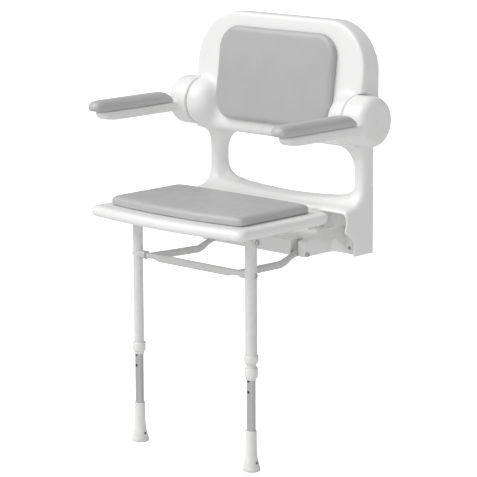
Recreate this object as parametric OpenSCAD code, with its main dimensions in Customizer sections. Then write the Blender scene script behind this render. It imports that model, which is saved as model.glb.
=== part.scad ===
// Fold-down padded wall seat with back rest, lift-up arms and two telescopic front legs.
// Millimetres. X runs across the seat, -Y points away from the wall, +Z is up.
// The wall is the plane Y = 0; the origin is the centre of the four wall fixings.

/* [Wall unit] */
// Half width of the pillars and of the lower housing
body_half = 240; // [238:0.5:240]
// Half width of the back rest
head_half = 254; // [248:1:256]
// Height of the top of the back rest above the fixings
head_top = 473; // [468:1:478]
// Radius of the two top corners of the back rest
head_corner_r = 115; // [105:1:120]
// Half width of the window between back rest and seat
window_half = 206; // [200:1:208]
// Wall thickness of the mouldings
shell_t = 5; // [4:0.5:6]

/* [Fixings] */
// Distance between left and right fixing holes
fix_spacing_x = 422; // [420:1:424]
// Distance between upper and lower fixing holes
fix_spacing_z = 70; // [64:1:72]
// Radius of the fixing holes
fix_hole_r = 4.25; // [3.5:0.25:4.5]

/* [Seat] */
// Half width of the seat moulding
seat_half = 233; // [230:1:234]
// Furthest point of the bowed front edge from the wall
seat_front = 450; // [446:1:454]
// Distance of the rear edge from the wall
seat_rear = 130; // [129:0.5:132]
// Radius of the rolled rim
rim_r = 13.5; // [12.5:0.5:13.5]
// Thickness of the seat pad
pad_t = 23.5; // [18:0.5:26]

/* [Arms] */
// Distance of the arm hub axis from the wall
hub_y = 58.5; // [58:0.5:60]
// Height of the arm hub axis above the fixings
hub_z = 259; // [256:1:262]
// Radius of the arm hubs
hub_r = 57; // [54:1:57]
// Distance from the mid plane to the outer face of a hub
hub_out = 300; // [296:1:302]
// Reach of the arm pad from the wall
arm_reach = 375; // [360:1:380]

/* [Legs] */
// Distance of each leg from the mid plane
leg_x = 175; // [174:0.5:175]
// Distance of the legs from the wall
leg_y = 335; // [332:1:338]
// Drop of the feet below the fixings
foot_drop = 499; // [470:1:520]
// Outside radius of the upper leg tubes
leg_r = 11.5; // [11:0.1:11.5]
// Outside radius of the telescopic inner tubes
inner_r = 9.8; // [9.4:0.1:9.8]
// Pitch of the height holes
hole_pitch = 25; // [20:1:30]

/* [Hidden] */
$fn = 64;
// Four pivots of the folding linkage, as [y, z]. They form a parallelogram.
seat_pivot = [-134, 29];
leg_pivot = [-leg_y, 17];
link_gap = 74;
brace_pivot = leg_pivot - [0, link_gap];
link_pivot = seat_pivot - [0, link_gap];
// Side view of the lower housing
floor_z = -51;
shelf_z = 61;
cheek_y = -96;
box_y = -143;
box_half = 160;
bay_half = 234;
bay_y = -45;
bay_top = 48;
relief_r = 42;
// Side view of the back rest
head_low = 191;
head_low_y = -78;
head_top_y = -40;
pillar_y = -36;
window_low = 66;
window_r = 54;
window_low_r = 34;
sill_r = 1500;
// Arm parts
hub_in = 240;
arm_x = 281;
axle_r = 6;
cap_r = 5;
run_gap = 0.05;
arm_core_w = 34;
arm_pad_w = 44;
arm_pad_z = 259;
arm_pad_t = 26;
arm_pad_rear = 126;
arm_screws = [-180, -310];
arm_screw_r = 2.5;
// Seat parts
rim_z = shelf_z - rim_r;
deck_top = 57.5;
deck_low = 52;
bow_r = 1230;
front_corner = 30;
pad_corner = 12;
rear_corner = 28;
pad_side = 26;
pad_front = 34;
pad_rear = 168;
rail_x = 189.2;
rail_t = 4;
arm_plate_x = 194;
arm_plate_t = 6;
pin_r = 5;
bolt_r = 3.5;
// Leg parts
tube_low = -288;
tube_top = 25;
tube_bore = 10.1;
sleeve_r = 13.5;
sleeve_top = 22;
sleeve_low = -250;
inner_top = -169;
inner_bore = 8.3;
first_hole = -318;
hole_r = 3.2;
lock_r = 3;
ferrule_h = 93;
ferrule_floor = 8;
link_r = 7;
link_arm_r = 6.8;
link_bore = 3.85;
link_end = 146;
link_eye_x = 128;
slot_half = 10;
lock_z = first_hole + 2 * hole_pitch;
cushion_half = 179;
cushion_h = 224;
cushion_t = 15;
cushion_z = 335;
stud_x = 130;
stud_z = 70;

// ---- helpers ----

// Upright front view outline, thickened from the wall towards the room
module from_wall(depth) {
    rotate([90, 0, 0]) linear_extrude(depth) children();
}

// Side view outline as [y, z], thickened along X from x0 to x1
module across(x0, x1) {
    translate([x0, 0, 0])
        rotate([90, 0, 90]) linear_extrude(x1 - x0) children();
}

// Round bar along X through the side view point [y, z]
module bar_x(x0, x1, p, r) {
    translate([x0, p[0], p[1]]) rotate([0, 90, 0]) cylinder(h = x1 - x0, r = r);
}

// Round bar along Y
module bar_y(x, z, y0, y1, r) {
    translate([x, y1, z]) rotate([90, 0, 0]) cylinder(h = y1 - y0, r = r);
}

// Straight round bar between two points
module rod(p, q, r) {
    d = q - p;
    flat = norm([d[0], d[1]]);
    translate(p)
        rotate([0, atan2(flat, d[2]), atan2(d[1], d[0])])
            cylinder(h = norm(d), r = r);
}

// Rectangle with round corners, centred
module round_rect(w, h, r) {
    square([w - 2 * r, h], center = true);
    square([w, h - 2 * r], center = true);
    for (sx = [-1, 1], sy = [-1, 1])
        translate([sx * (w / 2 - r), sy * (h / 2 - r)]) circle(r);
}

module mirrored() {
    children();
    mirror([1, 0, 0]) children();
}

// ---- wall unit ----

// Front view of the back rest, drawn in by d
module head_front(d) {
    cz = head_top - head_corner_r;
    cx = head_half - head_corner_r;
    for (s = [-1, 1]) translate([s * cx, cz]) circle(head_corner_r - d, $fn = 128);
    translate([-cx, cz - 20]) square([2 * cx, head_corner_r + 20 - d]);
    translate([-head_half + d, head_low + 5 + d])
        square([2 * (head_half - d), cz - head_low - 5 - d]);
}

// Front view of the window, grown by d: its lower edge sags towards the middle
module window_front(d) {
    mid = (window_low + head_low) / 2;
    h = head_low - window_low + 2 * d;
    intersection() {
        union() {
            translate([0, mid]) round_rect(2 * (window_half + d), h, window_r + d);
            translate([0, mid - h / 4])
                round_rect(2 * (window_half + d), h / 2, window_low_r + d);
        }
        translate([0, window_low + sill_r]) circle(sill_r + d, $fn = 720);
    }
}

// Front view of the pillars, drawn in by d
module body_front(d) {
    difference() {
        translate([-body_half + d, floor_z + d])
            square([2 * (body_half - d), head_low + 20 - floor_z - 2 * d]);
        window_front(d);
    }
}

// Side view of the leaning back rest, drawn in by d
module head_side(d) {
    polygon([[1, head_low + d], [head_low_y + 10 + d, head_low + d],
        [head_low_y + d, head_low + 14 + d],
        [head_top_y + d, head_top + 1 - d], [1, head_top + 1 - d]]);
}

// Side view of the lower housing with its cheeks, drawn in by d
module housing_side(d) {
    polygon([[1, floor_z + d], [-66 + d, floor_z + d], [-66 + d, -13], [cheek_y + d, 6],
        [cheek_y + d, shelf_z - 10 - d / 2], [cheek_y + 10 + d / 2, shelf_z - d], [1, shelf_z - d]]);
}

// Hollow curve that leads from the shelf up into the pillars
module pillar_foot(x0, x1, d) {
    foot_r = 39;
    difference() {
        across(x0, x1) translate([pillar_y - foot_r + d, shelf_z - 1 - d])
            square([foot_r + 1 - pillar_y - d, foot_r + 1]);
        bar_x(x0 - 1, x1 + 1, [pillar_y - foot_r, shelf_z + foot_r], foot_r + d);
    }
}

// Hollow curve that leads from the back rest down into the pillars
module pillar_brow(x0, x1) {
    brow_r = 40;
    top = head_low + 8;
    difference() {
        across(x0, x1) translate([pillar_y - brow_r, top - brow_r])
            square([brow_r + 1, brow_r]);
        bar_x(x0 - 1, x1 + 1, [pillar_y - brow_r, top - brow_r], brow_r);
    }
}

// Fixed shoulder that faces an arm hub, with a cone that leads into the back rest
module shoulder() {
    translate([208, -hub_y, hub_z]) rotate([0, 90, 0]) {
        cylinder(h = hub_in - 2 - 208, r = hub_r - 1);
        translate([0, 0, -26]) cylinder(h = 26, r1 = 20, r2 = hub_r - 3);
    }
}

// Outside of the back moulding
module shell_outside() {
    intersection() {
        from_wall(-pillar_y) body_front(0);
        across(-300, 300) translate([pillar_y - 1, floor_z]) square([-pillar_y + 1, 300]);
    }
    intersection() {
        from_wall(100) head_front(0);
        across(-300, 300) head_side(0);
    }
    across(-body_half, body_half) housing_side(0);
    difference() {
        pillar_foot(-body_half, body_half, 0);
        translate([0, 2, 0]) from_wall(200) window_front(0);
    }
    translate([-box_half, box_y, floor_z]) cube([2 * box_half, -box_y, shelf_z - floor_z]);
    mirrored() {
        shoulder();
        pillar_brow(window_half + 0.5, body_half);
    }
}

// Round seat in the side of the back rest that an arm hub turns in, grown by d
module hub_seat(d) {
    mirrored() bar_x(hub_in - 1.5 - d, head_half + 20, [-hub_y, hub_z], hub_r + 1 + d);
}

// Space inside the back moulding, open to the wall
module shell_inside() {
    t = shell_t;
    intersection() {
        translate([0, 1, 0]) from_wall(1 - pillar_y - t) body_front(t);
        translate([-300, -80, shelf_z - t]) cube([600, 90, 200]);
    }
    difference() {
        intersection() {
            translate([0, 1, 0]) from_wall(100) head_front(t);
            across(-300, 300) head_side(t);
        }
        hub_seat(t);
    }
    mirrored() bar_x(200, hub_in - 2 - t, [-hub_y, hub_z], hub_r - 1 - t);
    translate([-box_half + t, box_y + t, floor_z + t])
        cube([2 * (box_half - t), 1 - box_y - t, shelf_z - floor_z - 2 * t]);
    mirrored() translate([box_half - t - 1, bay_y + t, floor_z + t])
        cube([body_half - box_half + 1, 1 - bay_y - t, shelf_z - floor_z - 2 * t]);
}

// Bay beside the central box where a hinge bracket sits, open in front and below
module bay() {
    w = bay_half - box_half;
    translate([box_half + w / 2, 0, floor_z - 1]) linear_extrude(bay_top - floor_z + 1)
        translate([0, bay_y - 60]) round_rect(w, 120, 14);
    translate([box_half, -160, floor_z - 1])
        cube([w, 160 + bay_y - 20, bay_top - floor_z + 1]);
}

module back_shell() {
    color("white") difference() {
        union() {
            difference() {
                shell_outside();
                difference() {
                    shell_inside();
                    bar_x(-300, 300, seat_pivot, relief_r + shell_t);
                }
            }
            // bosses behind the wall fixings
            for (sx = [-1, 1], sz = [-1, 1])
                bar_y(sx * fix_spacing_x / 2, sz * fix_spacing_z / 2, bay_y + 1, 0, 12);
            // ribs that carry the brace pivots
            for (s = [-1, 1], x = [114, 142])
                translate([s * x - 2, box_y + 1, floor_z + 1]) cube([4, 60, 45]);
            // bosses that carry the arm axles
            mirrored() bar_x(170, hub_in - 3, [-hub_y, hub_z], 11.5);
        }
        hub_seat(0);
        // relief that the rear edge of the seat swings in
        bar_x(-300, 300, seat_pivot, relief_r);
        mirrored() bay();
        // openings for the two brace arms
        for (s = [-1, 1])
            translate([s * link_eye_x - slot_half, box_y - 1, floor_z - 1])
                cube([2 * slot_half, 23, 52]);
        for (sx = [-1, 1], sz = [-1, 1])
            bar_y(sx * fix_spacing_x / 2, sz * fix_spacing_z / 2, bay_y - 10, 1, 9);
        mirrored() bar_x(108, box_half + 1, link_pivot, bolt_r);
        mirrored() bar_x(160, hub_in + 1, [-hub_y, hub_z], axle_r);
        for (sx = [-1, 1], sz = [-1, 1])
            cushion_place() translate([sx * stud_x, 1, sz * stud_z])
                rotate([90, 0, 0]) translate([0, 0, -12]) cylinder(h = 14, r = 4);
    }
}

// Frame of the cushion: its back plane on the leaning face, at the cushion centre
module cushion_place() {
    face_y = head_top_y - (head_top - cushion_z) * (head_top_y - head_low_y)
        / (head_top - head_low - 14);
    translate([0, face_y - 0.2, cushion_z]) rotate([-atan((head_top_y - head_low_y)
        / (head_top - head_low - 14)), 0, 0]) children();
}

module back_cushion() {
    color("silver") difference() {
        cushion_place() rotate([90, 0, 0]) linear_extrude(cushion_t)
            round_rect(2 * cushion_half, cushion_h, 55);
        for (sx = [-1, 1], sz = [-1, 1])
            cushion_place() translate([sx * stud_x, 1, sz * stud_z])
                rotate([90, 0, 0]) cylinder(h = 10, r = 4);
    }
}

module cushion_studs() {
    color("dimgray") for (sx = [-1, 1], sz = [-1, 1])
        cushion_place() translate([sx * stud_x, 0, sz * stud_z]) rotate([90, 0, 0]) {
            translate([0, 0, -9]) cylinder(h = 18, r = 4);
            translate([0, 0, -9]) cylinder(h = 3, r = 7);
        }
}

module wall_sleeves() {
    color("gainsboro") for (sx = [-1, 1], sz = [-1, 1]) difference() {
        bar_y(sx * fix_spacing_x / 2, sz * fix_spacing_z / 2, bay_y, 0, 9);
        bar_y(sx * fix_spacing_x / 2, sz * fix_spacing_z / 2, bay_y - 1, 1, fix_hole_r);
    }
}

// Steel bracket: base plate on the housing and a swan-necked arm to the seat pivot
module hinge_bracket(s) {
    p = seat_pivot;
    color("whitesmoke") mirror([s < 0 ? 1 : 0, 0, 0]) difference() {
        union() {
            translate([arm_plate_x, bay_y - 4, -44]) cube([26, 4, 88]);
            across(arm_plate_x, arm_plate_x + arm_plate_t) {
                polygon([[bay_y - 1, -38], [bay_y - 1, 15], [-118, 15], [p[0] + 9, p[1] - 1],
                    [p[0] - 9, p[1]], [p[0] - 6, 4], [-122, -5], [-80, -10]]);
                translate(p) circle(9);
            }
        }
        bar_x(arm_plate_x - 1, arm_plate_x + arm_plate_t + 1, p, pin_r);
        for (sz = [-1, 1])
            bar_y(fix_spacing_x / 2, sz * fix_spacing_z / 2, bay_y - 9, bay_y + 9, fix_hole_r);
    }
}

module hinge_pin(s) {
    outer = arm_plate_x + arm_plate_t;
    color("gainsboro") mirror([s < 0 ? 1 : 0, 0, 0]) {
        bar_x(rail_x - 0.5, outer, seat_pivot, pin_r);
        bar_x(rail_x - 4, rail_x - 0.5, seat_pivot, 6);
        bar_x(outer, outer + 4, seat_pivot, 8);
    }
}

// Bolt through the box side that the brace arm turns on
module link_bolt(s) {
    color("gainsboro") mirror([s < 0 ? 1 : 0, 0, 0]) {
        bar_x(112, box_half, link_pivot, bolt_r);
        bar_x(box_half, box_half + 4, link_pivot, 5.5);
    }
}

module arm_axle(s) {
    color("gainsboro") mirror([s < 0 ? 1 : 0, 0, 0])
        bar_x(172, hub_out - 6, [-hub_y, hub_z], axle_r);
}

// ---- arms ----

module arm_shell(s) {
    round_edge = 18;
    color("white") mirror([s < 0 ? 1 : 0, 0, 0]) difference() {
        union() {
            translate([0, -hub_y, hub_z]) rotate([0, 90, 0]) rotate_extrude($fn = 96) {
                translate([0, hub_in]) square([hub_r, hub_out - round_edge - hub_in]);
                translate([0, hub_in]) square([hub_r - round_edge, hub_out - hub_in]);
                translate([hub_r - round_edge, hub_out - round_edge]) circle(round_edge);
            }
            intersection() {
                across(arm_x - arm_core_w / 2, arm_x + arm_core_w / 2)
                    polygon([[-95, 236], [-300, 236], [-336, 239], [-352, 250],
                        [-352, arm_pad_z], [-95, arm_pad_z]]);
                translate([arm_x, -200, 200]) linear_extrude(100)
                    round_rect(arm_core_w, 2 * 155, 16.5);
            }
        }
        bar_x(hub_in - 1, hub_out - 5.5, [-hub_y, hub_z], axle_r + run_gap);
        bar_x(hub_out - 3, hub_out + 1, [-hub_y, hub_z], cap_r);
        for (y = arm_screws) {
            translate([arm_x, y, 200]) cylinder(h = 80, r = arm_screw_r);
            translate([arm_x, y, 200]) cylinder(h = 43, r = 5);
        }
    }
}

module arm_pad(s) {
    color("silver") mirror([s < 0 ? 1 : 0, 0, 0]) difference() {
        translate([arm_x, -(arm_reach + arm_pad_rear) / 2, arm_pad_z]) linear_extrude(arm_pad_t)
            round_rect(arm_pad_w, arm_reach - arm_pad_rear, 16);
        for (y = arm_screws)
            translate([arm_x, y, arm_pad_z - 1]) cylinder(h = 13, r = arm_screw_r);
    }
}

module arm_pad_screws(s) {
    color("gainsboro") mirror([s < 0 ? 1 : 0, 0, 0]) for (y = arm_screws) {
        translate([arm_x, y, 243]) cylinder(h = 26, r = arm_screw_r);
        translate([arm_x, y, 240]) cylinder(h = 3, r = 4.6);
    }
}

module hub_cap(s) {
    color("white") mirror([s < 0 ? 1 : 0, 0, 0])
        bar_x(hub_out - 3, hub_out, [-hub_y, hub_z], cap_r);
}

// ---- seat ----

// Section of the rolled rim, of radius r
module rim_section(r) {
    polygon([for (i = [0:15]) r * [cos(22.5 * i + 11.25), sin(22.5 * i + 11.25)]]);
}

// Straight length of rim from p along the heading, in degrees
module rim_run(p, heading, length) {
    translate([p[0], p[1], rim_z]) rotate([90, 0, heading]) linear_extrude(length)
        rim_section(rim_r);
}

// Corner of the rim about the plan point p. It laps over the runs that it joins.
module rim_corner(p, start, sweep, r) {
    lap = 1.5;
    translate([p[0], p[1], rim_z]) rotate([0, 0, start - lap])
        rotate_extrude(angle = sweep + 2 * lap) translate([r, 0]) rim_section(rim_r + 0.05);
}

// Rolled rim of the seat: four edges and four corners of one section
module seat_rim() {
    half = seat_half - rim_r;
    side_r = front_corner - rim_r;
    bow_c = -seat_front + bow_r;
    turn = asin((seat_half - front_corner) / (bow_r - front_corner));
    corner_y = bow_c - (bow_r - front_corner) * cos(turn);
    rear = -seat_rear - rim_r;
    rr = rear_corner - rim_r;
    translate([0, bow_c, rim_z]) rotate([0, 0, 270 - turn])
        rotate_extrude(angle = 2 * turn, $fn = 360) translate([bow_r - rim_r, 0])
            rim_section(rim_r);
    for (s = [-1, 1]) rim_run([s * half, rear - rr], 0, rear - rr - corner_y);
    rim_run([-half + rr, rear], 90, 2 * (half - rr));
    rim_corner([seat_half - front_corner, corner_y], 270 + turn, 90 - turn, side_r);
    rim_corner([-seat_half + front_corner, corner_y], 180, 90 - turn, side_r);
    rim_corner([half - rr, rear - rr], 0, 90, rr);
    rim_corner([-half + rr, rear - rr], 90, 90, rr);
}

// Plan outline of the seat, drawn in by d
module seat_plan(d, corner) {
    bow_c = -seat_front + bow_r;
    corner_x = seat_half - d - corner;
    turn = asin(corner_x / (bow_r - d - corner));
    corner_y = bow_c - (bow_r - d - corner) * cos(turn);
    intersection() {
        union() {
            translate([-seat_half + d, corner_y])
                square([2 * (seat_half - d), -seat_rear - rear_corner - corner_y]);
            translate([-corner_x, -seat_front - 5]) square([2 * corner_x, 80]);
            for (s = [-1, 1]) translate([s * corner_x, corner_y]) circle(corner);
            for (s = [-1, 1])
                translate([s * (seat_half - rear_corner), -seat_rear - rear_corner])
                    circle(rear_corner - d);
            translate([-seat_half + rear_corner, -seat_rear - 60])
                square([2 * (seat_half - rear_corner), 60 - d]);
        }
        translate([0, bow_c]) circle(bow_r - d, $fn = 720);
    }
}

// Places of the pad studs
function stud_spots() = [for (x = [-150, 0, 150], y = [-390, -215]) [x, y]];
// Places of the rail screws on one side
function screw_spots() = [for (y = [-310, -250, -190]) [179, y]];

module seat_shell() {
    color("white") difference() {
        union() {
            seat_rim();
            translate([0, 0, deck_low]) linear_extrude(deck_top - deck_low)
                seat_plan(rim_r, front_corner - rim_r);
            for (x = [-96, -32, 32, 96])
                translate([x - 2, -seat_front + 16, deck_low - 14])
                    cube([4, seat_front - seat_rear - 32, 15]);
            for (y = [-350, -255])
                translate([-seat_half + 18, y - 2, deck_low - 10])
                    cube([2 * seat_half - 36, 4, 11]);
        }
        // room for the hinge eyes and for the rails
        for (s = [-1, 1]) {
            bar_x(s * 196 - 10, s * 196 + 10, seat_pivot, 10.5);
            translate([s * 182.2 - 12.3, -349, deck_low - 20]) cube([24.6, 189, 20]);
        }
        for (p = stud_spots()) translate([p[0], p[1], 0]) cylinder(h = 90, r = 4);
        for (s = [-1, 1], p = screw_spots())
            translate([s * p[0], p[1], 0]) cylinder(h = 90, r = 2.5);
    }
}

module seat_pad() {
    color("silver") difference() {
        translate([0, 0, deck_top]) linear_extrude(pad_t) intersection() {
            seat_plan(pad_side, pad_corner);
            translate([0, pad_front - pad_side]) seat_plan(pad_side, pad_corner);
            translate([-seat_half, -seat_front]) square([2 * seat_half, seat_front - pad_rear]);
        }
        for (p = stud_spots()) translate([p[0], p[1], 0]) cylinder(h = deck_top + 10, r = 4);
    }
}

module seat_pad_studs() {
    color("dimgray") for (p = stud_spots()) translate([p[0], p[1], 0]) {
        translate([0, 0, deck_low - 3]) cylinder(h = deck_top + 12 - deck_low, r = 4);
        translate([0, 0, deck_low - 3]) cylinder(h = 3, r = 7);
    }
}

// Steel angle under the seat with an eye at each end
module seat_rail(s) {
    a = seat_pivot;
    b = leg_pivot;
    top = deck_low;
    color("whitesmoke") mirror([s < 0 ? 1 : 0, 0, 0]) difference() {
        union() {
            across(rail_x, rail_x + rail_t) {
                polygon([[a[0], a[1] - 9], [a[0], 33], [-159, 33], [-162, top], [-347, top],
                    [b[0] - 10, b[1]], [b[0] + 10, b[1]], [-312, top - 14], [-185, top - 14],
                    [-163, a[1] - 9]]);
                translate(a) circle(9);
                translate(b) circle(10);
            }
            translate([171, -330, top - 3]) cube([rail_x + 1 - 171, 160, 3]);
        }
        bar_x(rail_x - 1, rail_x + rail_t + 1, a, pin_r + run_gap);
        bar_x(rail_x - 1, rail_x + rail_t + 1, b, bolt_r);
        for (p = screw_spots()) translate([p[0], p[1], 0]) cylinder(h = 90, r = 2.5);
    }
}

module rail_screws() {
    color("gainsboro") for (s = [-1, 1], p = screw_spots()) translate([s * p[0], p[1], 0]) {
        translate([0, 0, deck_low - 6]) cylinder(h = 11, r = 2.5);
        translate([0, 0, deck_low - 6]) cylinder(h = 3, r = 4.8);
    }
}

// Outside radius of a leg below its pivot: the right leg wears a cover sleeve
function skin_r(s) = s > 0 ? sleeve_r : leg_r;

// Bolt from the rail through the top of a leg
module leg_pivot_bolt(s) {
    inner = leg_x - skin_r(s);
    color("gainsboro") mirror([s < 0 ? 1 : 0, 0, 0]) {
        bar_x(inner - 0.5, rail_x + rail_t, leg_pivot, bolt_r);
        bar_x(inner - 4, inner - 0.5, leg_pivot, 6.5);
        bar_x(rail_x + rail_t, rail_x + rail_t + 4, leg_pivot, 6.5);
    }
}

// ---- brace ----

module link_frame() {
    c = brace_pivot;
    d = link_pivot;
    bend = [link_eye_x, d[0] - 53, d[1] - 16];
    corner = [136, c[0], c[1]];
    color("whitesmoke") difference() {
        union() {
            bar_x(-link_end, link_end, c, link_r);
            mirrored() {
                rod(corner, bend, link_arm_r);
                translate(bend) rotate([90, 0, 0]) sphere(link_arm_r + 0.2);
                rod(bend, [link_eye_x, d[0], d[1]], link_arm_r);
                bar_x(link_eye_x - 7.5, link_eye_x + 7.5, d, 7.5);
            }
        }
        bar_x(-link_end - 1, link_end + 1, c, link_bore);
        mirrored() bar_x(link_eye_x - 9, link_eye_x + 9, d, bolt_r + run_gap);
    }
}

module brace_bush(s) {
    color("white") mirror([s < 0 ? 1 : 0, 0, 0]) difference() {
        bar_x(link_end + 0.6, leg_x - 2, brace_pivot, 9.5);
        bar_x(link_end - 1, leg_x, brace_pivot, bolt_r);
        translate([leg_x, -leg_y, -150]) cylinder(h = 200, r = skin_r(s));
    }
}

module brace_bolt(s) {
    outer = leg_x + skin_r(s);
    color("gainsboro") mirror([s < 0 ? 1 : 0, 0, 0]) {
        bar_x(link_end - 18, outer, brace_pivot, bolt_r);
        bar_x(outer, outer + 3, brace_pivot, 6);
    }
}

// ---- legs ----

module leg_place(s) {
    translate([s * leg_x, -leg_y, 0]) children();
}

module leg_tube(s) {
    color("whitesmoke") difference() {
        leg_place(s) translate([0, 0, tube_low]) cylinder(h = tube_top - tube_low, r = leg_r);
        leg_place(s) translate([0, 0, tube_low - 1])
            cylinder(h = tube_top - tube_low + 2, r = tube_bore);
        mirror([s < 0 ? 1 : 0, 0, 0]) {
            bar_x(leg_x - 20, leg_x + 20, leg_pivot, bolt_r + run_gap);
            bar_x(leg_x - 20, leg_x + 20, brace_pivot, bolt_r);
        }
        bar_y(s * leg_x, lock_z, -leg_y, -leg_y + 20, lock_r + run_gap);
    }
}

// Cover sleeve over the upper tube, fitted on the right leg only
module leg_sleeve(s) {
    color("white") difference() {
        leg_place(s) translate([0, 0, sleeve_low])
            cylinder(h = sleeve_top - sleeve_low, r = sleeve_r);
        leg_place(s) translate([0, 0, sleeve_low - 1])
            cylinder(h = sleeve_top - sleeve_low + 2, r = leg_r);
        bar_x(leg_x - 20, leg_x + 20, leg_pivot, bolt_r + run_gap);
        bar_x(leg_x - 20, leg_x + 20, brace_pivot, bolt_r);
    }
}

module leg_cap(s) {
    color("white") leg_place(s) {
        translate([0, 0, tube_top]) cylinder(h = 4, r = leg_r);
        translate([0, 0, tube_top - 3]) cylinder(h = 4, r = tube_bore);
    }
}

// Plastic collar that closes the end of the upper tube
module leg_collar(s) {
    low = tube_low - 3;
    high = tube_low + 24;
    bore = inner_r + 0.4;
    color("white") difference() {
        leg_place(s) rotate_extrude()
            polygon([[bore, low], [13, low], [15, low + 3], [15, high - 1],
                [14, high], [leg_r, high], [leg_r, tube_low], [bore, tube_low]]);
        bar_y(s * leg_x, lock_z, -leg_y, -leg_y + 20, lock_r + run_gap);
    }
}

// Stop ring that closes the lower end of the cover sleeve
module upper_collar(s) {
    color("white") leg_place(s) rotate_extrude()
        polygon([[leg_r, -255], [13, -255], [16.5, -250], [16.5, -239], [15.5, -238],
            [sleeve_r, -238], [sleeve_r, sleeve_low], [leg_r, sleeve_low]]);
}

// Lock button of the height adjustment, shown out of the inner tube's holes
module height_pin(s) {
    color("gainsboro")
        bar_y(s * leg_x, lock_z, -leg_y + inner_r + 0.4, -leg_y + 18.5, lock_r);
}

module leg_inner(s) {
    color("silver") difference() {
        leg_place(s) translate([0, 0, -foot_drop + ferrule_floor])
            cylinder(h = inner_top + foot_drop - ferrule_floor, r = inner_r);
        leg_place(s) translate([0, 0, -foot_drop])
            cylinder(h = foot_drop, r = inner_bore);
        for (k = [0:4])
            bar_y(s * leg_x, first_hole + k * hole_pitch, -leg_y - 20, -leg_y + 20, hole_r);
    }
}

module ferrule(s) {
    low = -foot_drop;
    high = low + ferrule_h;
    color("white") difference() {
        leg_place(s) rotate_extrude()
            polygon([[0, low], [17, low], [19.2, low + 1], [20, low + 3.5], [19.6, low + 7],
                [17.6, low + 16], [15.4, low + 26], [14, low + 36], [13.2, low + 60],
                [12.7, high - 2], [12, high], [inner_r, high],
                [inner_r, low + ferrule_floor], [0, low + ferrule_floor]]);
        for (t = [-1, 1]) leg_place(s) translate([t * 17.5, 0, low + 20])
            rotate([0, 90, 0]) cylinder(h = 6, r = 2.5, center = true);
    }
}

back_shell();
back_cushion();
cushion_studs();
wall_sleeves();
hinge_bracket(-1);  // hinge_bracket_left
hinge_bracket(1);  // hinge_bracket_right
hinge_pin(-1);  // hinge_pin_left
hinge_pin(1);  // hinge_pin_right
link_bolt(-1);  // link_bolt_left
link_bolt(1);  // link_bolt_right
arm_axle(-1);  // arm_axle_left
arm_axle(1);  // arm_axle_right
seat_shell();
seat_pad();
seat_pad_studs();
seat_rail(-1);  // seat_rail_left
seat_rail(1);  // seat_rail_right
rail_screws();
leg_pivot_bolt(-1);  // leg_pivot_bolt_left
leg_pivot_bolt(1);  // leg_pivot_bolt_right
link_frame();
leg_tube(-1);  // leg_tube_left
leg_cap(-1);  // leg_cap_left
leg_collar(-1);  // leg_collar_left
height_pin(-1);  // height_pin_left
brace_bush(-1);  // brace_bush_left
brace_bolt(-1);  // brace_bolt_left
leg_inner(-1);  // leg_inner_left
ferrule(-1);  // ferrule_left
leg_tube(1);  // leg_tube_right
leg_sleeve(1);  // leg_sleeve_right
leg_cap(1);  // leg_cap_right
leg_collar(1);  // leg_collar_right
upper_collar(1);  // upper_collar_right
height_pin(1);  // height_pin_right
brace_bush(1);  // brace_bush_right
brace_bolt(1);  // brace_bolt_right
leg_inner(1);  // leg_inner_right
ferrule(1);  // ferrule_right
arm_shell(-1);  // arm_shell_left
arm_pad(-1);  // arm_pad_left
hub_cap(-1);  // hub_cap_left
arm_pad_screws(-1);  // arm_pad_screws_left
arm_shell(1);  // arm_shell_right
arm_pad(1);  // arm_pad_right
hub_cap(1);  // hub_cap_right
arm_pad_screws(1);  // arm_pad_screws_right
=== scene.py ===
import math

import bmesh
import bpy
import numpy as np
from mathutils import Matrix, Vector


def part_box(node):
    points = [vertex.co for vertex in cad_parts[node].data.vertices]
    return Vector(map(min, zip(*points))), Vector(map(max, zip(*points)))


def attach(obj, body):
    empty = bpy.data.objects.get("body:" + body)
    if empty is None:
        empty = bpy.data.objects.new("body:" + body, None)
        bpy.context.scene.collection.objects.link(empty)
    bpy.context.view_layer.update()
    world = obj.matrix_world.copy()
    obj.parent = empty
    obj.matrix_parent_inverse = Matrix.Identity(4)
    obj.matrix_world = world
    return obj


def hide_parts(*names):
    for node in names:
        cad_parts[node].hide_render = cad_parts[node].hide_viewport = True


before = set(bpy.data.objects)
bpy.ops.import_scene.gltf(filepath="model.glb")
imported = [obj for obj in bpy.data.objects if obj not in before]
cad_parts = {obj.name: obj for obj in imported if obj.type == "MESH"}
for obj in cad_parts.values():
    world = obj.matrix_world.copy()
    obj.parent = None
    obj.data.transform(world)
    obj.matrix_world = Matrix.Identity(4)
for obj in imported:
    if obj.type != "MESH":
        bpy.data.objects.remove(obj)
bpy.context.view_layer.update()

# Looks for the fold-down shower seat. Metres, in the frame of the CAD model.
SIDES = (("left", -1), ("right", 1))
FLOOR_Z = min(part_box("ferrule_left")[0].z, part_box("ferrule_right")[0].z)
# Turns a plan outline upright, to face away from the wall
UPRIGHT = Matrix(((1, 0, 0, 0), (0, 0, -1, 0), (0, 1, 0, 0), (0, 0, 0, 1)))


# ---------------------------------------------------------------- mesh helpers

def link(name, mesh):
    obj = bpy.data.objects.new(name, mesh)
    bpy.context.scene.collection.objects.link(obj)
    return obj


def make(name, points, faces):
    mesh = bpy.data.meshes.new(name)
    mesh.from_pydata([tuple(p) for p in points], [], faces)
    mesh.validate()
    mesh.update()
    b = bmesh.new()
    b.from_mesh(mesh)
    bmesh.ops.recalc_face_normals(b, faces=b.faces)
    b.to_mesh(mesh)
    b.free()
    return link(name, mesh)


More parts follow.
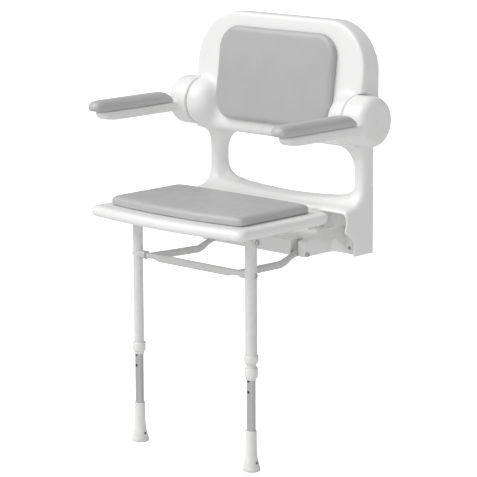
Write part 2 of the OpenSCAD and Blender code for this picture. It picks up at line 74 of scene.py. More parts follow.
def copy_node(name, node):
    """A free copy of a CAD node's mesh."""
    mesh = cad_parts[node].data.copy()
    mesh.name = name
    mesh.materials.clear()
    obj = link(name, mesh)
    b = bmesh.new()
    b.from_mesh(mesh)
    bmesh.ops.remove_doubles(b, verts=b.verts, dist=1e-6)
    b.to_mesh(mesh)
    b.free()
    return obj


def join(name, objs):
    """One mesh from several closed ones. A later remesh makes it their union."""
    b = bmesh.new()
    for o in objs:
        b.from_mesh(o.data)
        bpy.data.objects.remove(o)
    mesh = bpy.data.meshes.new(name)
    b.to_mesh(mesh)
    b.free()
    return link(name, mesh)


def coords(mesh):
    co = np.zeros(len(mesh.vertices) * 3)
    mesh.vertices.foreach_get("co", co)
    return co.reshape(-1, 3)


def set_coords(mesh, co):
    mesh.vertices.foreach_set("co", co.ravel())
    mesh.update()


def bake_modifiers(obj):
    dg = bpy.context.evaluated_depsgraph_get()
    mesh = bpy.data.meshes.new_from_object(obj.evaluated_get(dg))
    obj.modifiers.clear()
    obj.data = mesh
    return obj


def remesh(obj, voxel):
    m = obj.modifiers.new("voxels", "REMESH")
    m.mode = "VOXEL"
    m.voxel_size = voxel
    m.adaptivity = 0.0
    m.use_smooth_shade = True
    return bake_modifiers(obj)


def relax(obj, rounds, weight=None):
    """Smooths the mesh, so that edges become fillets. weight is 0 to 1 per point."""
    mesh = obj.data
    co = coords(mesh)
    e = np.zeros(len(mesh.edges) * 2, np.int64)
    mesh.edges.foreach_get("vertices", e)
    e = e.reshape(-1, 2)
    a, b = np.r_[e[:, 0], e[:, 1]], np.r_[e[:, 1], e[:, 0]]
    count = np.maximum(np.bincount(a, minlength=len(co)), 1)
    w = np.ones(len(co)) if weight is None else weight(co)
    for _ in range(rounds):
        mean = np.stack([np.bincount(a, co[b, i], len(co)) / count for i in range(3)], 1)
        co = co + (mean - co) * (0.5 * w)[:, None]
    set_coords(mesh, co)
    return obj


def shade(obj, angle=None):
    for p in obj.data.polygons:
        p.use_smooth = True
    if angle:
        obj.data.set_sharp_from_angle(angle=math.radians(angle))
    return obj


def subdivide(obj):
    m = obj.modifiers.new("fine", "SUBSURF")
    m.levels = m.render_levels = 1
    return bake_modifiers(obj)


def lathe(name, profile, centre, axis="z", steps=64, hex_socket=0.0, socket_depth=0.002):
    """Turns (radius, height) pairs about z, x or -x through centre. Both ends are closed.
    hex_socket is the radius of a six-sided recess in the last end."""
    rings, points, faces = [], [], []
    for r, h in profile:
        rings.append(len(points))
        for i in range(steps):
            t = 2 * math.pi * i / steps
            points.append((r * math.cos(t), r * math.sin(t), h))
    if hex_socket:
        for h in (profile[-1][1], profile[-1][1] - socket_depth):
            rings.append(len(points))
            for i in range(steps):
                t = 2 * math.pi * i / steps
                s = (t + math.pi / 6) % (math.pi / 3) - math.pi / 6
                r = hex_socket * math.cos(math.pi / 6) / math.cos(s)
                points.append((r * math.cos(t), r * math.sin(t), h))
    for a, b in zip(rings, rings[1:]):
        for i in range(steps):
            j = (i + 1) % steps
            faces.append((a + i, a + j, b + j, b + i))
    faces.append(tuple(rings[0] + i for i in reversed(range(steps))))
    faces.append(tuple(rings[-1] + i for i in range(steps)))
    turn = {"z": Matrix.Identity(3),
            "x": Matrix(((0, 0, 1), (1, 0, 0), (0, 1, 0))),
            "-x": Matrix(((0, 0, -1), (1, 0, 0), (0, -1, 0)))}[axis]
    c = Vector(centre)
    return shade(make(name, [turn @ Vector(p) + c for p in points], faces), 35)


def prism(name, outline, low, high, place=None):
    """Closed prism on a plan outline, from low to high, with an optional transform."""
    n = len(outline)
    points = [Vector((x, y, z)) for z in (low, high) for x, y in outline]
    if place is not None:
        points = [place @ p for p in points]
    faces = [(i, (i + 1) % n, n + (i + 1) % n, n + i) for i in range(n)]
    faces += [tuple(reversed(range(n))), tuple(range(n, 2 * n))]
    return make(name, points, faces)


def arc(cx, cy, r, start, stop, steps=12):
    return [(cx + r * math.cos(math.radians(start + (stop - start) * i / steps)),
             cy + r * math.sin(math.radians(start + (stop - start) * i / steps)))
            for i in range(steps + 1)]


def rounded(w, h, r, steps):
    x, y = w / 2 - r, h / 2 - r
    return (arc(x, y, r, 0, 90, steps) + arc(-x, y, r, 90, 180, steps)
            + arc(-x, -y, r, 180, 270, steps) + arc(x, -y, r, 270, 360, steps))


# ---------------------------------------------------------------- materials

def material(name, colour, rough, metal=0.0, coat=0.0, sheen=0.0, mottle=0.03, patch=9.0,
             rough_shift=0.06, bumps=(), stretch=(1, 1, 1), wear=0.0, wear_colour=(0.5, 0.5, 0.5),
             grime=0.0, subsurface=0.0):
    """Procedural surface: patchy colour, varied roughness, layered bump, worn edges, floor grime.
    bumps holds (kind, scale, strength, height) with kind noise or cells."""
    m = bpy.data.materials.new(name)
    m.use_nodes = True
    nodes, links = m.node_tree.nodes, m.node_tree.links
    nodes.clear()
    out = nodes.new("ShaderNodeOutputMaterial")
    surface = nodes.new("ShaderNodeBsdfPrincipled")
    links.new(surface.outputs[0], out.inputs[0])
    surface.inputs["Metallic"].default_value = metal
    surface.inputs["Coat Weight"].default_value = coat
    surface.inputs["Coat Roughness"].default_value = 0.25
    surface.inputs["Sheen Weight"].default_value = sheen
    surface.inputs["Sheen Roughness"].default_value = 0.4
    surface.inputs["Subsurface Weight"].default_value = subsurface
    surface.inputs["Subsurface Radius"].default_value = (0.004, 0.004, 0.0035)
    place = nodes.new("ShaderNodeTexCoord")
    scaled = nodes.new("ShaderNodeMapping")
    scaled.inputs["Scale"].default_value = stretch
    links.new(place.outputs["Object"], scaled.inputs["Vector"])

    def noise(scale, detail=4.0, rough_=0.55):
        n = nodes.new("ShaderNodeTexNoise")
        n.inputs["Scale"].default_value = scale
        n.inputs["Detail"].default_value = detail
        n.inputs["Roughness"].default_value = rough_
        links.new(scaled.outputs[0], n.inputs["Vector"])
        return n.outputs["Fac"]

    def spread(value, low, high, a=0.35, b=0.65):
        n = nodes.new("ShaderNodeMapRange")
        n.inputs["From Min"].default_value, n.inputs["From Max"].default_value = a, b
        n.inputs["To Min"].default_value, n.inputs["To Max"].default_value = low, high
        links.new(value, n.inputs["Value"])
        return n.outputs[0]

    def mix(fac, a, b):
        n = nodes.new("ShaderNodeMix")
        n.data_type = "RGBA"
        links.new(fac, n.inputs[0])
        for socket, v in ((n.inputs[6], a), (n.inputs[7], b)):
            if isinstance(v, tuple):
                socket.default_value = (*v, 1)
            else:
                links.new(v, socket)
        return n.outputs[2]

    dark = tuple(c * (1 - mottle) for c in colour)
    light = tuple(min(c * (1 + mottle * 0.5), 1) for c in colour)
    colour_out = mix(spread(noise(patch), 0, 1), dark, light)
    if wear:
        point = nodes.new("ShaderNodeNewGeometry")
        edge = spread(point.outputs["Pointiness"], 0, wear, 0.53, 0.62)
        broken = nodes.new("ShaderNodeMath")
        broken.operation = "MULTIPLY"
        links.new(edge, broken.inputs[0])
        links.new(spread(noise(70, 6), 0, 1, 0.45, 0.6), broken.inputs[1])
        colour_out = mix(broken.outputs[0], colour_out, wear_colour)
    if grime:
        split = nodes.new("ShaderNodeSeparateXYZ")
        links.new(place.outputs["Object"], split.inputs[0])
        low = spread(split.outputs["Z"], grime, 0, FLOOR_Z, FLOOR_Z + 0.03)
        patchy = nodes.new("ShaderNodeMath")
        patchy.operation = "MULTIPLY"
        links.new(low, patchy.inputs[0])
        links.new(spread(noise(120, 5), 0.3, 1), patchy.inputs[1])
        colour_out = mix(patchy.outputs[0], colour_out, (0.33, 0.31, 0.28))
    links.new(colour_out, surface.inputs["Base Color"])
    links.new(spread(noise(38, 5), rough - rough_shift, rough + rough_shift), surface.inputs["Roughness"])
    last = None
    for kind, scale, strength, height in bumps:
        if kind == "noise":
            relief = noise(scale, 3.0, 0.6)
        else:
            cells = nodes.new("ShaderNodeTexVoronoi")
            cells.feature = "SMOOTH_F1"
            cells.inputs["Scale"].default_value = scale
            cells.inputs["Smoothness"].default_value = 0.6
            links.new(scaled.outputs[0], cells.inputs["Vector"])
            relief = cells.outputs["Distance"]
        bump = nodes.new("ShaderNodeBump")
        bump.inputs["Strength"].default_value = strength
        bump.inputs["Distance"].default_value = height
        links.new(relief, bump.inputs["Height"])
        if last is not None:
            links.new(last, bump.inputs["Normal"])
        last = bump.outputs[0]
    if last is not None:
        links.new(last, surface.inputs["Normal"])
    return m


MOULDED = material("moulded_white", (0.86, 0.86, 0.855), 0.36, coat=0.12, mottle=0.012, patch=5,
                   bumps=(("noise", 6, 0.05, 0.002), ("noise", 1400, 0.10, 0.0001)),
                   wear=0.12, wear_colour=(0.74, 0.74, 0.73), subsurface=0.03)


def vinyl(name, tone):
    """Grey cushion skin: fine leather grain, slow dimples, edges rubbed lighter. tone is the pad's grey with
    its painted light and shade.
    """
    return material(name, (tone, tone, tone), 0.38, coat=0.2, sheen=0.08, mottle=0.03, patch=14,
                    bumps=(("noise", 12, 0.10, 0.003), ("cells", 900, 0.16, 0.0003),
                           ("noise", 2600, 0.08, 0.0001)),
                    wear=0.10, wear_colour=(tone + 0.05, tone + 0.05, tone + 0.05))


# All three pads are one grey vinyl. Their tones differ only as painted light and shade: the arm tops lightest
# as painted light, the seat between, the back cushion darkest as painted shade.
BACK_VINYL_PAINTED_SHADE = vinyl("grey_vinyl_back_painted_shade", 0.45)
SEAT_VINYL_PAINTED_LIGHT = vinyl("grey_vinyl_seat_painted_light", 0.475)
ARM_VINYL_PAINTED_LIGHT = vinyl("grey_vinyl_arms_painted_light", 0.51)
POWDER = material("white_powder_coat", (0.76, 0.76, 0.755), 0.40, coat=0.08, mottle=0.012, patch=20,
                  bumps=(("noise", 900, 0.12, 0.0001), ("noise", 160, 0.03, 0.0003)),
                  wear=0.2, wear_colour=(0.6, 0.6, 0.6))
SATIN_ALU = material("anodised_tube", (0.56, 0.565, 0.57), 0.36, metal=0.85, mottle=0.06, patch=30,
                     stretch=(60, 60, 1.2), rough_shift=0.08, bumps=(("noise", 22, 0.05, 0.0002),))
ZINC = material("zinc_plate", (0.60, 0.60, 0.61), 0.34, metal=0.9, mottle=0.10, patch=160,
                bumps=(("noise", 900, 0.10, 0.0001),), wear=0.3, wear_colour=(0.8, 0.8, 0.8))
COLLAR = material("collar_plastic", (0.82, 0.82, 0.81), 0.46, mottle=0.02, patch=40,
                  bumps=(("noise", 1100, 0.12, 0.0001),), wear=0.2, wear_colour=(0.7, 0.7, 0.69))
FERRULE = material("white_rubber", (0.80, 0.80, 0.79), 0.62, sheen=0.06, mottle=0.03, patch=50,
                   bumps=(("noise", 420, 0.16, 0.0003), ("noise", 60, 0.06, 0.001)), grime=0.22)
DARK = material("dark_nylon", (0.12, 0.12, 0.12), 0.5, mottle=0.1, patch=80,
                bumps=(("noise", 800, 0.1, 0.0001),))
SLEEVE = material("sleeve_nylon", (0.70, 0.70, 0.69), 0.5, mottle=0.04, patch=60,
                  bumps=(("noise", 800, 0.1, 0.0001),))
# The brace's white powder coat, greyed as painted shade for its place under the seat. Its darker edge wear is
# greyed with it.
BRACE_PAINTED_SHADE = material("white_powder_coat_painted_shade", (0.62, 0.62, 0.615), 0.40, coat=0.08, mottle=0.015, patch=20,
                 bumps=(("noise", 900, 0.12, 0.0001), ("noise", 160, 0.03, 0.0003)),
                 wear=0.2, wear_colour=(0.5, 0.5, 0.5))


def paint(obj, mat):
    obj.data.materials.clear()
    obj.data.materials.append(mat)
    return obj


def paint_node(node, mat, bevel=0.0):
    """Gives a carried-over CAD node its material, smooth shading and small edge radii."""
    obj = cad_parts[node]
    obj.data.materials.clear()
    obj.data.materials.append(mat)
    shade(obj, 30)
    if bevel:
        m = obj.modifiers.new("edge", "BEVEL")
        m.width, m.segments, m.limit_method = bevel, 2, "ANGLE"
        m.angle_limit = math.radians(40)


# ---------------------------------------------------------------- mouldings

def near(value, low, high):
    """0 below low, 1 above high, smooth between."""
    t = np.clip((value - low) / (high - low), 0, 1)
    return t * t * (3 - 2 * t)


def swelling(name, centre, radii):
    """Closed ellipsoid."""
    mesh = bpy.data.meshes.new(name)
    b = bmesh.new()
    bmesh.ops.create_uvsphere(b, u_segments=48, v_segments=32, radius=1.0)
    b.to_mesh(mesh)
    b.free()
    mesh.transform(Matrix.Translation(centre) @ Matrix.Diagonal((*radii, 1)))
    return link(name, mesh)


def wall_unit():
    """The wall moulding: the CAD shell with rounder shoulders and window corners, drawn softly."""
    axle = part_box("hub_cap_right")
    hub_y, hub_z = (axle[0].y + axle[1].y) / 2, (axle[0].z + axle[1].z) / 2
    parts = [copy_node("wall_copy", "back_shell")]
    for side, sign in SIDES:
        parts.append(swelling(f"swelling_{side}", (sign * 0.208, hub_y, hub_z), (0.033, 0.0535, 0.0535)))
        # the lower window corners widen towards the wall
        web = [(sign * 0.209, 0.074), (sign * 0.209, 0.140)]
        web += [(sign * x, z) for x, z in arc(0.156, 0.128, 0.050, 0, -90, 14)] + [(sign * 0.156, 0.070)]
        parts.append(prism(f"web_{side}", web, 0.002, 0.020, UPRIGHT))
    body = join("wall_moulding", parts)
    remesh(body, 0.0028)

    def loose(co):
        # the rim on the wall stays flat, and the low bays keep their corners
        w = 1 - near(co[:, 1], -0.004, -0.001)
        low = 1 - near(co[:, 2], 0.02, 0.07)
        return w * (1 - 0.55 * low)

    relax(body, 14, loose)

    def frame_zone(co):
        # the window frame and the roots of the hub shoulders are drawn softly
        window = near(co[:, 2], 0.036, 0.058) * (1 - near(co[:, 2], 0.205, 0.225))
        x, y, z = np.abs(co[:, 0]), co[:, 1] - hub_y, co[:, 2] - hub_z
        shoulder = near(x, 0.160, 0.172) * (1 - near(x, 0.214, 0.224))
        root = (1 - near(np.hypot(y, z), 0.066, 0.090)) * shoulder
        wall = 1 - near(co[:, 1], -0.008, -0.002)
        return np.maximum(window, root) * wall

    relax(body, 46, frame_zone)
    shade(body)
    paint(body, MOULDED)
    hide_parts("back_shell")
    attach(body, "wall_unit")
    return body


# Height of the seat's upper face inside the rim, and radius of the bow of its front edge
DECK_Z = 0.0603
BOW_R = 1.207
# The CAD seat's front corners: their radius, and how far their centres lie behind the front edge
CORNER_R = 0.030
CORNER_BACK = 0.052
# Share by which such a corner is drawn outwards at its middle
CORNER_PULL = 0.22


def seat_outline(half, front, rear, r_front, r_rear):
    """Plan of the seat: bowed front, straight sides, round corners."""
    c = front + BOW_R
    turn = math.asin((half - r_front) / (BOW_R - r_front))
    cy = c - (BOW_R - r_front) * math.cos(turn)
    deg = math.degrees(turn)
    right = arc(half - r_front, cy, r_front, 270 + deg, 360, 10)
    back = arc(half - r_rear, rear - r_rear, r_rear, 0, 90, 10)
    front_line = arc(0, c, BOW_R, 270 - deg, 270 + deg, 40)
    left = [(-x, y) for x, y in reversed(right)]
    return front_line[1:-1] + right + back + [(-x, y) for x, y in reversed(back)] + left


def seat_moulding():
    """Seat with its rolled rim, a flush deck plate and front corners sharper than the CAD's."""
    low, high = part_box("seat_shell")
    rim = 0.0135
    plate = prism("deck_plate", seat_outline(high.x - rim, low.y + rim, high.y - rim, 0.016, 0.014),
                  DECK_Z - 0.005, DECK_Z)
    body = join("seat_moulding", [copy_node("seat_copy", "seat_shell"), plate])
    remesh(body, 0.0024)
    co = coords(body.data)
    u = np.maximum(np.abs(co[:, 0]) - (high.x - CORNER_R), 0)
    v = np.maximum(low.y + CORNER_BACK - co[:, 1], 0)
    spread = CORNER_PULL * np.sin(2 * np.arctan2(v, u)) ** 2
    co[:, 0] += np.sign(co[:, 0]) * u * spread
    co[:, 1] -= v * spread
    set_coords(body.data, co)
    relax(body, 8)
    shade(body)
    paint(body, MOULDED)
    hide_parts("seat_shell")
    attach(body, "seat")
    return body


def arm_moulding(side):
    body = copy_node(f"arm_moulding_{side}", f"arm_shell_{side}")
    remesh(body, 0.0022)

    def loose(co):
        # the hub's inner face stays flat beside the shoulder
        return near(np.abs(co[:, 0]), 0.2405, 0.2435)

    relax(body, 14, loose)
    shade(body)
    paint(body, MOULDED)
    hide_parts(f"arm_shell_{side}")
    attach(body, f"arm_{side}")
    return body


# ---------------------------------------------------------------- padding

def inflate(obj, pressure, cap, hold, frames=16):
    """Cloth under air pressure, its result applied. cap limits how far a point may move, and
    hold gives each point's share of the movement."""
    start = coords(obj.data)
    m = obj.modifiers.new("air", "CLOTH")
    s = m.settings
    s.quality = 4
    s.mass = 0.25
    s.tension_stiffness = s.compression_stiffness = 18
    s.shear_stiffness = 8
    s.bending_stiffness = 1.2
    s.use_pressure = True
    s.uniform_pressure_force = pressure
    s.effector_weights.gravity = 0.0
    m.collision_settings.use_collision = False
    m.point_cache.frame_start, m.point_cache.frame_end = 1, frames
    scene = bpy.context.scene
    for f in range(1, frames + 1):
        scene.frame_set(f)
    bake_modifiers(obj)
    scene.frame_set(1)
    move = coords(obj.data) - start
    size = np.linalg.norm(move, axis=1)
    move *= (np.minimum(size, cap) / np.maximum(size, 1e-9) * hold(start))[:, None]
    set_coords(obj.data, start + move)
    return obj


def seat_cushion():
    """Seat cushion: crowned, and flat only where it rests on the deck."""
    low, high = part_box("seat_pad")
    low.z = DECK_Z - 0.0005
    outline = seat_outline(high.x - 0.0015, low.y + 0.0015, high.y - 0.001, 0.014, 0.011)
    pad = prism("seat_cushion", outline, low.z, high.z - 0.002)
    remesh(pad, 0.0042)

    def soft(co):
        return near(co[:, 2], low.z + 0.002, low.z + 0.007)

    relax(pad, 7)
    co = coords(pad.data)
    dome = (1 - (co[:, 0] / high.x) ** 2) * (1 - ((co[:, 1] - (low.y + high.y) / 2) / 0.13) ** 2)
    co[:, 2] += 0.0035 * np.clip(dome, 0, 1) ** 0.6 * near(co[:, 2], low.z + 0.006, high.z - 0.006)
    set_coords(pad.data, co)
    inflate(pad, 4.0, 0.0022, soft)
    relax(pad, 2, soft)
    subdivide(pad)
    shade(pad)
    paint(pad, SEAT_VINYL_PAINTED_LIGHT)
    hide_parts("seat_pad")
    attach(pad, "seat")
    return pad


def back_place():
    """Frame of the leaning face: origin at the cushion's centre on its back plane."""
    top_y, top_z, centre_z = -0.040, 0.473, 0.335
    y = top_y - (top_z - centre_z) * 38.0 / 268.0
    return Matrix.Translation((0, y, centre_z)) @ Matrix.Rotation(-math.atan(38.0 / 269.0), 4, "X")


def back_pad():
    """Back cushion: made lying flat, then stood on the leaning face."""
    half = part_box("back_cushion")[1].x - 0.0015
    pad = prism("back_cushion_pad", rounded(2 * half, 0.221, 0.056, 16), 0.0003, 0.014)
    remesh(pad, 0.0036)

    def soft(co):
        return near(co[:, 2], 0.0005, 0.004)

    relax(pad, 8, soft)
    co = coords(pad.data)
    dome = np.clip((1 - (co[:, 0] / half) ** 2) * (1 - (co[:, 1] / 0.112) ** 2), 0, 1) ** 0.7
    co[:, 2] += 0.004 * dome * near(co[:, 2], 0.004, 0.012)
    set_coords(pad.data, co)
    inflate(pad, 4.0, 0.0016, soft)
    relax(pad, 2, soft)
    subdivide(pad)
    pad.data.transform(back_place() @ UPRIGHT)
    shade(pad)
    paint(pad, BACK_VINYL_PAINTED_SHADE)
    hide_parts("back_cushion")
    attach(pad, "wall_unit")
    return pad


def arm_rest(side):
    """Arm pad: a rounded bar with a round tip and a rear end that slopes down to the hub."""
    low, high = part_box(f"arm_pad_{side}")
    cx = (low.x + high.x) / 2
    half = (high.x - low.x) / 2 - 0.0008
    height = high.z - low.z - 0.001
    stations = []
    tip, rear = low.y + 0.0005, high.y - 0.001
    steps = 47
    for i in range(steps + 1):
        y = tip + (rear - tip) * i / steps
        nose = min((y - tip) / 0.021, 1.0)
        bull = math.sqrt(max(1 - (1 - nose) ** 2, 0.0))
        tail = min((rear - y) / 0.026, 1.0)
        w = half * (0.40 + 0.60 * bull) * (0.92 + 0.08 * min(tail * 2, 1))
        top = low.z + height * (0.52 + 0.48 * bull) * (0.34 + 0.66 * math.sin(math.pi / 2 * tail))
        stations.append((y, w, low.z + 0.006 * (1 - bull), top))
    points, faces = [], []
    for y, w, base, top in stations:
        h = top - base
        r = min(0.0135, h * 0.62, w * 0.9)
        edge = min(0.0055, h * 0.25)
        section = (arc(w - r, h - r, r, 0, 90, 9) + arc(-w + r, h - r, r, 90, 180, 9)
                   + arc(-w + edge, edge, edge, 180, 270, 9) + arc(w - edge, edge, edge, 270, 360, 9))
        points += [Vector((cx + x, y, base + z)) for x, z in section]
    n = len(section)
    for k in range(len(stations) - 1):
        for i in range(n):
            j = (i + 1) % n
            faces.append((k * n + i, k * n + j, (k + 1) * n + j, (k + 1) * n + i))
    faces += [tuple(range(n)), tuple(reversed(range((len(stations) - 1) * n, len(stations) * n)))]
    pad = make(f"arm_rest_{side}", points, faces)
    remesh(pad, 0.0026)

    def soft(co):
        return near(co[:, 2], low.z + 0.001, low.z + 0.005)

    relax(pad, 5)
    inflate(pad, 3.0, 0.0009, soft, 12)
    relax(pad, 2, soft)
    subdivide(pad)
    shade(pad)
    paint(pad, ARM_VINYL_PAINTED_LIGHT)
    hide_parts(f"arm_pad_{side}")
    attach(pad, f"arm_{side}")
    return pad


# ---------------------------------------------------------------- legs and fittings

def foot(side):
    """Rubber ferrule: straight socket, flared foot and a lip round its base."""
    low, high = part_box(f"ferrule_{side}")
    c = ((low.x + high.x) / 2, (low.y + high.y) / 2, low.z)
    top = high.z - low.z
    profile = [(0.0135, 0.0015), (0.0160, 0.0), (0.0186, 0.0006), (0.0197, 0.0022), (0.0200, 0.0046),
               (0.0199, 0.0078), (0.0194, 0.0098), (0.0184, 0.0108), (0.0179, 0.0120), (0.0177, 0.0140),
               (0.0170, 0.0180), (0.0161, 0.0220), (0.0150, 0.0265), (0.0141, 0.0310), (0.0134, 0.0360),
               (0.0129, 0.0420), (0.0126, 0.0500), (0.0124, 0.0620), (0.0123, top - 0.0050),
               (0.0122, top - 0.0022), (0.0119, top - 0.0006), (0.0114, top), (0.0107, top - 0.0002),
               (0.0099, top - 0.0014), (0.0099, top - 0.0040)]
    piece = lathe(f"foot_{side}", profile, c, steps=96)
    paint(piece, FERRULE)
    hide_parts(f"ferrule_{side}")
    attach(piece, f"foot_{side}")
    # a dark eye on each side of the foot
    for s in (-1, 1):
        eye = lathe(f"foot_{side}_eye_{'a' if s < 0 else 'b'}",
                    [(0.0030, 0.0), (0.0030, 0.0008), (0.0024, 0.0011), (0.0017, 0.0008)],
                    (c[0] + s * 0.0160, c[1], low.z + 0.0205), "x" if s > 0 else "-x", 24)
        paint(eye, DARK)
        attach(eye, f"foot_{side}")
    return piece


def ring(name, body, node, radii, centre):
    """Moulded collar with rounded shoulders, open through the middle."""
    piece = lathe_open(name, radii, centre)
    paint(piece, COLLAR)
    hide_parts(node)
    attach(piece, body)
    return piece


def lathe_open(name, profile, centre, steps=80):
    """Turns a closed (radius, height) loop about Z: a ring with no end faces."""
    points, faces, n = [], [], len(profile)
    for i in range(steps):
        t = 2 * math.pi * i / steps
        points += [Vector((r * math.cos(t), r * math.sin(t), h)) + Vector(centre) for r, h in profile]
    for i in range(steps):
        j = (i + 1) % steps
        for k in range(n):
            q = (k + 1) % n
            faces.append((i * n + k, i * n + q, j * n + q, j * n + k))
    return shade(make(name, points, faces), 40)


def collars():
    """A collar at the foot of each leg tube, with a narrow neck, and the right leg's upper ring."""
    for side, short in (("left", 0.0040), ("right", 0.0012)):
        low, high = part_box(f"leg_collar_{side}")
        c = ((low.x + high.x) / 2, (low.y + high.y) / 2, low.z)
        h = high.z - low.z
        loop = [(0.0102, 0.0004), (0.0110, 0.0), (0.0117, 0.0003), (0.0121, 0.0012),
                (0.0123, 0.0022 + short), (0.0134, 0.0030 + short), (0.0145, 0.0044 + short),
                (0.0149, 0.0058 + short), (0.0150, 0.0085 + short), (0.0150, h - 0.0040), (0.0148, h - 0.0020),
                (0.0141, h - 0.0006), (0.0130, h - 0.0001), (0.0121, h - 0.0004), (0.0116, h - 0.0014),
                (0.0115, h - 0.0030), (0.0115, 0.0030), (0.0102, 0.0030)]
        ring(f"collar_{side}", f"leg_{side}", f"leg_collar_{side}", loop, c)
    low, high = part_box("upper_collar_right")
    c = ((low.x + high.x) / 2, (low.y + high.y) / 2, low.z)
    h = high.z - low.z
    loop = [(0.0115, 0.0004), (0.0122, 0.0), (0.0134, 0.0008), (0.0146, 0.0026), (0.0156, 0.0046),
            (0.0162, 0.0070), (0.0165, 0.0095), (0.0164, h), (0.0160, h + 0.0017), (0.0152, h + 0.0025),
            (0.0143, h + 0.0022), (0.0135, h + 0.0010), (0.0135, 0.0052), (0.0115, 0.0052)]
    ring("stop_ring_right", "leg_right", "upper_collar_right", loop, c)


def bolt(name, node, body, heads, axis):
    """Bolt along X with domed heads. heads holds (start, stop, radius) from the inside out."""
    low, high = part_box(node)
    y, z = (low.y + high.y) / 2, (low.z + high.z) / 2
    sign = 1 if axis == "x" else -1
    span = (low.x, high.x) if sign > 0 else (-high.x, -low.x)
    shank, profile = heads["shank"], []
    inner, outer = heads.get("inner"), heads.get("outer")
    if inner:
        h, r = inner
        profile += [(r * 0.55, 0.0), (r * 0.86, 0.0004), (r * 0.98, 0.0014), (r, h * 0.6), (r, h),
                    (shank, h)]
    else:
        profile += [(shank * 0.8, 0.0), (shank, 0.0006)]
    length = span[1] - span[0]
    if outer:
        h, r = outer
        profile += [(shank, length - h), (r * 0.97, length - h), (r, length - h + 0.0004),
                    (r, length - h * 0.62), (r * 0.95, length - h * 0.34), (r * 0.82, length - h * 0.12),
                    (r * 0.62, length)]
    else:
        profile += [(shank, length - 0.0006), (shank * 0.8, length)]
    start = (sign * span[0], y, z)
    r_hex = outer[1] * 0.48 if outer else 0
    piece = lathe(name, profile, start, axis, 48, r_hex, 0.0018)
    paint(piece, ZINC)
    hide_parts(node)
    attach(piece, body)
    return piece


def brace_frame():
    """Brace of oval tube: deeper than wide along its bar and arms, round at the pivots."""
    body = copy_node("brace_tube", "link_frame")
    remesh(body, 0.0011)
    relax(body, 6)
    co = coords(body.data)
    up = np.empty(len(co) * 3)
    body.data.vertices.foreach_get("normal", up)
    x, y = np.abs(co[:, 0]), co[:, 1]
    bar = (1 - near(y, -0.330, -0.318)) * (1 - near(x, 0.106, 0.122))
    arms = near(y, -0.326, -0.300) * (1 - near(y, -0.172, -0.152))
    co[:, 2] -= 0.0042 * np.maximum(bar, arms) * near(-up[2::3], -0.5, 0.5)
    set_coords(body.data, co)
    relax(body, 2)
    shade(body)
    paint(body, BRACE_PAINTED_SHADE)
    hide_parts("link_frame")
    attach(body, "brace")


def fittings():
    """Bolts and screws, and finishes for the CAD nodes that stay."""
    for side, sign in SIDES:
        axis = "x" if sign > 0 else "-x"
        bolt(f"hinge_pin_head_{side}", f"hinge_pin_{side}", "wall_unit",
             {"shank": 0.005, "inner": (0.0035, 0.006), "outer": (0.004, 0.008)}, axis)
        bolt(f"leg_bolt_{side}", f"leg_pivot_bolt_{side}", "seat",
             {"shank": 0.0035, "inner": (0.0035, 0.0065), "outer": (0.004, 0.0065)}, axis)
        bolt(f"brace_screw_{side}", f"brace_bolt_{side}", f"leg_{side}",
             {"shank": 0.0029, "outer": (0.003, 0.006)}, axis)
        bolt(f"link_screw_{side}", f"link_bolt_{side}", "wall_unit",
             {"shank": 0.0035, "outer": (0.004, 0.0055)}, axis)
        for node in (f"hinge_bracket_{side}", f"seat_rail_{side}"):
            paint_node(node, POWDER, 0.0006)
        paint_node(f"leg_tube_{side}", POWDER)
        paint_node(f"leg_cap_{side}", COLLAR, 0.0008)
        paint_node(f"leg_inner_{side}", SATIN_ALU)
        paint_node(f"brace_bush_{side}", BRACE_PAINTED_SHADE, 0.0006)
        paint_node(f"height_pin_{side}", ZINC, 0.0006)
        paint_node(f"arm_axle_{side}", ZINC, 0.0006)
        paint_node(f"hub_cap_{side}", MOULDED, 0.0006)
        paint_node(f"arm_pad_screws_{side}", ZINC, 0.0004)
    paint_node("leg_sleeve_right", POWDER, 0.0003)
    paint_node("rail_screws", ZINC, 0.0004)
    paint_node("cushion_studs", DARK, 0.0005)
    paint_node("seat_pad_studs", DARK, 0.0005)
    paint_node("wall_sleeves", SLEEVE, 0.0006)


# ---------------------------------------------------------------- stage

CAMERA_AT = (3.5414, -3.9591, 1.0219)
# Azimuth, elevation and roll in degrees
CAMERA_AIM = (43.2, 11.4, 0.18)
SENSOR_MM = 36
FOCAL_PIXELS = 2330
IMAGE_PIXELS = 477


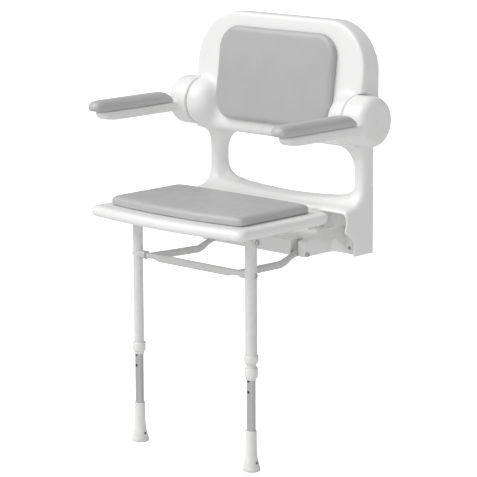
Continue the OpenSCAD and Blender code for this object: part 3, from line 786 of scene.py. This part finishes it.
def stage():
    """Pale floor, soft studio light and the camera."""
    size = 30.0
    floor = make("floor", [(-size, -size, FLOOR_Z), (size, -size, FLOOR_Z),
                           (size, size, FLOOR_Z), (-size, size, FLOOR_Z)], [(0, 1, 2, 3)])
    m = bpy.data.materials.new("pale_floor")
    m.use_nodes = True
    p = m.node_tree.nodes["Principled BSDF"]
    p.inputs["Base Color"].default_value = (0.8, 0.8, 0.8, 1)
    p.inputs["Roughness"].default_value = 0.9
    p.inputs["Emission Color"].default_value = (1, 1, 1, 1)
    glow = m.node_tree.nodes.new("ShaderNodeMapRange")
    glow.inputs["To Max"].default_value = 0.8
    lit = m.node_tree.nodes.new("ShaderNodeLightPath")
    m.node_tree.links.new(lit.outputs["Is Camera Ray"], glow.inputs["Value"])
    m.node_tree.links.new(glow.outputs[0], p.inputs["Emission Strength"])
    floor.data.materials.append(m)

    scene = bpy.context.scene
    world = bpy.data.worlds.new("studio")
    world.use_nodes = True
    nodes, links = world.node_tree.nodes, world.node_tree.links
    back = nodes["Background"]
    back.inputs["Color"].default_value = (1, 1, 1, 1)
    back.inputs["Strength"].default_value = 0.42
    bright = nodes.new("ShaderNodeBackground")
    bright.inputs["Color"].default_value = (1, 1, 1, 1)
    bright.inputs["Strength"].default_value = 1.0
    seen = nodes.new("ShaderNodeLightPath")
    pick = nodes.new("ShaderNodeMixShader")
    links.new(seen.outputs["Is Camera Ray"], pick.inputs[0])
    links.new(back.outputs[0], pick.inputs[1])
    links.new(bright.outputs[0], pick.inputs[2])
    links.new(pick.outputs[0], nodes["World Output"].inputs[0])
    scene.world = world

    def sun(name, direction, strength, angle):
        data = bpy.data.lights.new(name, "SUN")
        data.energy = strength
        data.angle = math.radians(angle)
        lamp = bpy.data.objects.new(name, data)
        lamp.rotation_euler = Vector(direction).to_track_quat("-Z", "Y").to_euler()
        scene.collection.objects.link(lamp)

    sun("key", (0.42, 0.68, -0.80), 2.0, 55)
    sun("fill", (-0.67, 0.71, -0.15), 0.4, 30)
    scene.view_settings.view_transform = "Standard"

    azimuth, elevation, roll = (math.radians(a) for a in CAMERA_AIM)
    back_dir = Vector((math.sin(azimuth) * math.cos(elevation),
                       -math.cos(azimuth) * math.cos(elevation), math.sin(elevation)))
    cam = bpy.data.cameras.new("camera")
    cam.sensor_width = SENSOR_MM
    cam.lens = FOCAL_PIXELS * SENSOR_MM / IMAGE_PIXELS
    cam.clip_end = 100
    camera = bpy.data.objects.new("camera", cam)
    camera.rotation_mode = "QUATERNION"
    aim = (-back_dir).to_track_quat("-Z", "Y")
    camera.rotation_quaternion = aim @ Matrix.Rotation(-roll, 4, "Z").to_quaternion()
    camera.location = CAMERA_AT
    scene.collection.objects.link(camera)
    scene.camera = camera


wall_unit()
seat_moulding()
for side, _ in SIDES:
    arm_moulding(side)
    arm_rest(side)
    foot(side)
seat_cushion()
back_pad()
collars()
brace_frame()
fittings()
stage()
